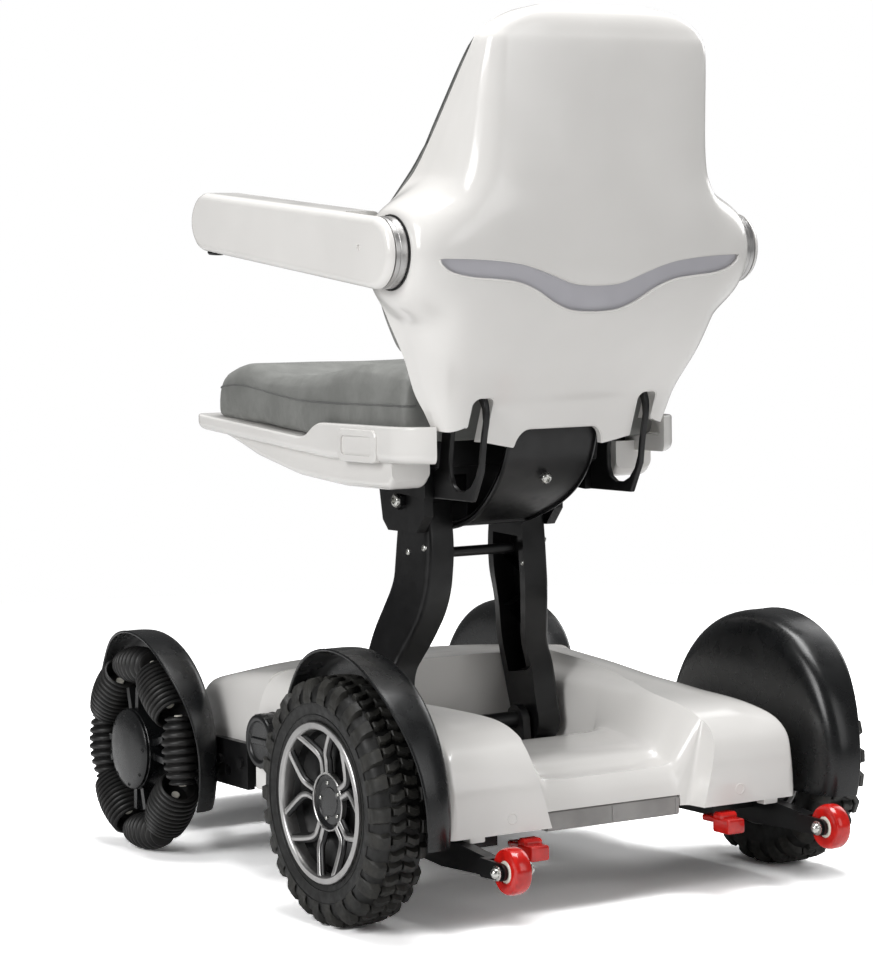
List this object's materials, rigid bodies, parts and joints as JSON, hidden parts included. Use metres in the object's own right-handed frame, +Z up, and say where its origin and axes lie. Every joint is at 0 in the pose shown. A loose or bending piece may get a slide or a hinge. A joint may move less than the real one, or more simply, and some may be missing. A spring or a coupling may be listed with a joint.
{
  "type": "folding power wheelchair",
  "caption": "Folding power wheelchair with white shells, grey cushions, knobby rear wheels and omnidirectional front wheels.",
  "frame": {"origin": "on the ground below the middle of the chair's bounding box", "axes": "+Z up, the chair faces -Y, +X is the user's left"},
  "size_m": [0.652, 1.0196, 0.985],
  "materials": {
    "white_shell": "glossy white moulded plastic",
    "black_plastic": "satin black moulded plastic",
    "black_frame": "satin black powder coat",
    "tyre_rubber": "black tread rubber",
    "roller_rubber": "black ribbed rubber",
    "silver_alloy": "bright turned alloy",
    "grey_leatherette": "grey grained leatherette",
    "grey_plastic": "grey moulded plastic",
    "panel_grey": "pale grey-violet moulded plastic",
    "red_urethane": "glossy red urethane"
  },
  "bodies": {
    "chassis": {"chassis_frame": "black_frame", "rear_body_cover": "white_shell", "front_body_cover": "white_shell", "rear_step_plate": "grey_plastic", "motor_controller": "grey_plastic", "battery_left": "black_plastic", "battery_right": "black_plastic", "rear_fender_left": "black_plastic", "rear_fender_right": "black_plastic", "front_fender_left": "black_plastic", "front_fender_right": "black_plastic", "front_wheel_bracket_left": "black_frame", "front_wheel_bracket_right": "black_frame", "anti_tip_arm_left": "black_frame", "anti_tip_arm_right": "black_frame"},
    "legs": {"leg_left": "black_frame", "leg_right": "black_frame", "leg_cross_rod": "black_frame"},
    "seat": {"seat_frame": "black_frame", "seat_tray": "white_shell", "seat_cushion": "grey_leatherette", "back_bracket": "black_frame", "side_bracket_left": "black_frame", "side_bracket_right": "black_frame"},
    "backrest": {"backrest_shell": "white_shell", "backrest_grip_panel": "panel_grey", "backrest_cushion": "grey_leatherette", "armrest_ring_left": "silver_alloy", "armrest_ring_right": "silver_alloy"},
    "armrest_left": {"armrest_left": "white_shell"},
    "armrest_right": {"armrest_right": "white_shell", "joystick_box": "black_plastic"},
    "joystick": {"joystick_stick": "black_plastic"},
    "footrest": {"footrest": "black_plastic"},
    "rear_wheel_left": {"rear_wheel_rim_left": "silver_alloy", "rear_tyre_left": "tyre_rubber"},
    "rear_wheel_right": {"rear_wheel_rim_right": "silver_alloy", "rear_tyre_right": "tyre_rubber"},
    "front_wheel_left": {"front_wheel_hub_left": "black_plastic"},
    "front_wheel_right": {"front_wheel_hub_right": "black_plastic"},
    "anti_tip_wheel_left": {"anti_tip_wheel_left": "red_urethane"},
    "anti_tip_wheel_right": {"anti_tip_wheel_right": "red_urethane"},
    "freewheel_lever_left": {"freewheel_lever_left": "red_urethane"},
    "freewheel_lever_right": {"freewheel_lever_right": "red_urethane"},
    "large_roller_left_1": {"large_roller_left_1": "roller_rubber"},
    "large_roller_left_2": {"large_roller_left_2": "roller_rubber"},
    "large_roller_left_3": {"large_roller_left_3": "roller_rubber"},
    "large_roller_left_4": {"large_roller_left_4": "roller_rubber"},
    "small_roller_left_1": {"small_roller_left_1": "roller_rubber"},
    "small_roller_left_2": {"small_roller_left_2": "roller_rubber"},
    "small_roller_left_3": {"small_roller_left_3": "roller_rubber"},
    "small_roller_left_4": {"small_roller_left_4": "roller_rubber"},
    "large_roller_right_1": {"large_roller_right_1": "roller_rubber"},
    "large_roller_right_2": {"large_roller_right_2": "roller_rubber"},
    "large_roller_right_3": {"large_roller_right_3": "roller_rubber"},
    "large_roller_right_4": {"large_roller_right_4": "roller_rubber"},
    "small_roller_right_1": {"small_roller_right_1": "roller_rubber"},
    "small_roller_right_2": {"small_roller_right_2": "roller_rubber"},
    "small_roller_right_3": {"small_roller_right_3": "roller_rubber"},
    "small_roller_right_4": {"small_roller_right_4": "roller_rubber"}
  },
  "joints": [
    {"name": "leg_fold", "type": "hinge", "parent": "chassis", "child": "legs", "pos_m": [0, 0.06725, 0.1645], "axis": [-1, 0, 0], "range_deg": [0, 70]},
    {"name": "seat_level", "type": "hinge", "parent": "legs", "child": "seat", "pos_m": [0, 0.08475, 0.4375], "axis": [1, 0, 0], "range_deg": [0, 70]},
    {"name": "backrest_fold", "type": "hinge", "parent": "seat", "child": "backrest", "pos_m": [0, 0.22805, 0.628], "axis": [1, 0, 0], "range_deg": [0, 90]},
    {"name": "armrest_lift_left", "type": "hinge", "parent": "backrest", "child": "armrest_left", "pos_m": [0.22, 0.28425, 0.7215], "axis": [-1, 0, 0], "range_deg": [0, 90]},
    {"name": "armrest_lift_right", "type": "hinge", "parent": "backrest", "child": "armrest_right", "pos_m": [-0.22, 0.28425, 0.7215], "axis": [-1, 0, 0], "range_deg": [0, 90]},
    {"name": "footrest_fold", "type": "hinge", "parent": "chassis", "child": "footrest", "pos_m": [0, -0.28175, 0.118], "axis": [-1, 0, 0], "range_deg": [0, 85]},
    {"name": "joystick_tilt", "type": "hinge", "parent": "armrest_right", "child": "joystick", "pos_m": [-0.22, -0.07153, 0.82437], "axis": [1, 0, 0], "range_deg": [-15, 15], "stiffness_Nm_per_rad": 0.4},
    {"name": "freewheel_turn_left", "type": "hinge", "parent": "chassis", "child": "freewheel_lever_left", "pos_m": [0.1305, 0.37025, 0.083], "axis": [0, 0, 1], "range_deg": [0, 30]},
    {"name": "freewheel_turn_right", "type": "hinge", "parent": "chassis", "child": "freewheel_lever_right", "pos_m": [-0.1305, 0.37025, 0.083], "axis": [0, 0, -1], "range_deg": [0, 30]},
    {"name": "rear_wheel_spin_left", "type": "hinge", "parent": "chassis", "child": "rear_wheel_left", "pos_m": [0.293, 0.28025, 0.135], "axis": [1, 0, 0], "continuous": true},
    {"name": "rear_wheel_spin_right", "type": "hinge", "parent": "chassis", "child": "rear_wheel_right", "pos_m": [-0.293, 0.28025, 0.135], "axis": [1, 0, 0], "continuous": true},
    {"name": "front_wheel_spin_left", "type": "hinge", "parent": "chassis", "child": "front_wheel_left", "pos_m": [0.273, -0.24775, 0.125], "axis": [1, 0, 0], "continuous": true},
    {"name": "front_wheel_spin_right", "type": "hinge", "parent": "chassis", "child": "front_wheel_right", "pos_m": [-0.273, -0.24775, 0.125], "axis": [1, 0, 0], "continuous": true},
    {"name": "anti_tip_spin_left", "type": "hinge", "parent": "chassis", "child": "anti_tip_wheel_left", "pos_m": [0.21, 0.48475, 0.08], "axis": [1, 0, 0], "continuous": true},
    {"name": "anti_tip_spin_right", "type": "hinge", "parent": "chassis", "child": "anti_tip_wheel_right", "pos_m": [-0.21, 0.48475, 0.08], "axis": [1, 0, 0], "continuous": true},
    {"name": "large_roller_spin_left_1", "type": "hinge", "parent": "front_wheel_left", "child": "large_roller_left_1", "pos_m": [0.273, -0.31976, 0.18542], "axis": [0, 0.6428, 0.766], "continuous": true},
    {"name": "large_roller_spin_left_2", "type": "hinge", "parent": "front_wheel_left", "child": "large_roller_left_2", "pos_m": [0.273, -0.18733, 0.19701], "axis": [0, 0.766, -0.6428], "continuous": true},
    {"name": "large_roller_spin_left_3", "type": "hinge", "parent": "front_wheel_left", "child": "large_roller_left_3", "pos_m": [0.273, -0.17574, 0.06458], "axis": [0, -0.6428, -0.766], "continuous": true},
    {"name": "large_roller_spin_left_4", "type": "hinge", "parent": "front_wheel_left", "child": "large_roller_left_4", "pos_m": [0.273, -0.30817, 0.05299], "axis": [0, -0.766, 0.6428], "continuous": true},
    {"name": "small_roller_spin_left_1", "type": "hinge", "parent": "front_wheel_left", "child": "small_roller_left_1", "pos_m": [0.273, -0.25664, 0.22661], "axis": [0, 0.9962, 0.0872], "continuous": true},
    {"name": "small_roller_spin_left_2", "type": "hinge", "parent": "front_wheel_left", "child": "small_roller_left_2", "pos_m": [0.273, -0.14614, 0.13389], "axis": [0, 0.0872, -0.9962], "continuous": true},
    {"name": "small_roller_spin_left_3", "type": "hinge", "parent": "front_wheel_left", "child": "small_roller_left_3", "pos_m": [0.273, -0.23886, 0.02339], "axis": [0, -0.9962, -0.0872], "continuous": true},
    {"name": "small_roller_spin_left_4", "type": "hinge", "parent": "front_wheel_left", "child": "small_roller_left_4", "pos_m": [0.273, -0.34936, 0.11611], "axis": [0, -0.0872, 0.9962], "continuous": true},
    {"name": "large_roller_spin_right_1", "type": "hinge", "parent": "front_wheel_right", "child": "large_roller_right_1", "pos_m": [-0.273, -0.31976, 0.18542], "axis": [0, 0.6428, 0.766], "continuous": true},
    {"name": "large_roller_spin_right_2", "type": "hinge", "parent": "front_wheel_right", "child": "large_roller_right_2", "pos_m": [-0.273, -0.18733, 0.19701], "axis": [0, 0.766, -0.6428], "continuous": true},
    {"name": "large_roller_spin_right_3", "type": "hinge", "parent": "front_wheel_right", "child": "large_roller_right_3", "pos_m": [-0.273, -0.17574, 0.06458], "axis": [0, -0.6428, -0.766], "continuous": true},
    {"name": "large_roller_spin_right_4", "type": "hinge", "parent": "front_wheel_right", "child": "large_roller_right_4", "pos_m": [-0.273, -0.30817, 0.05299], "axis": [0, -0.766, 0.6428], "continuous": true},
    {"name": "small_roller_spin_right_1", "type": "hinge", "parent": "front_wheel_right", "child": "small_roller_right_1", "pos_m": [-0.273, -0.25664, 0.22661], "axis": [0, 0.9962, 0.0872], "continuous": true},
    {"name": "small_roller_spin_right_2", "type": "hinge", "parent": "front_wheel_right", "child": "small_roller_right_2", "pos_m": [-0.273, -0.14614, 0.13389], "axis": [0, 0.0872, -0.9962], "continuous": true},
    {"name": "small_roller_spin_right_3", "type": "hinge", "parent": "front_wheel_right", "child": "small_roller_right_3", "pos_m": [-0.273, -0.23886, 0.02339], "axis": [0, -0.9962, -0.0872], "continuous": true},
    {"name": "small_roller_spin_right_4", "type": "hinge", "parent": "front_wheel_right", "child": "small_roller_right_4", "pos_m": [-0.273, -0.34936, 0.11611], "axis": [0, -0.0872, 0.9962], "continuous": true}
  ],
  "couplings": [
    {"joint": "seat_level", "follows": "leg_fold", "ratio": 1}
  ]
}
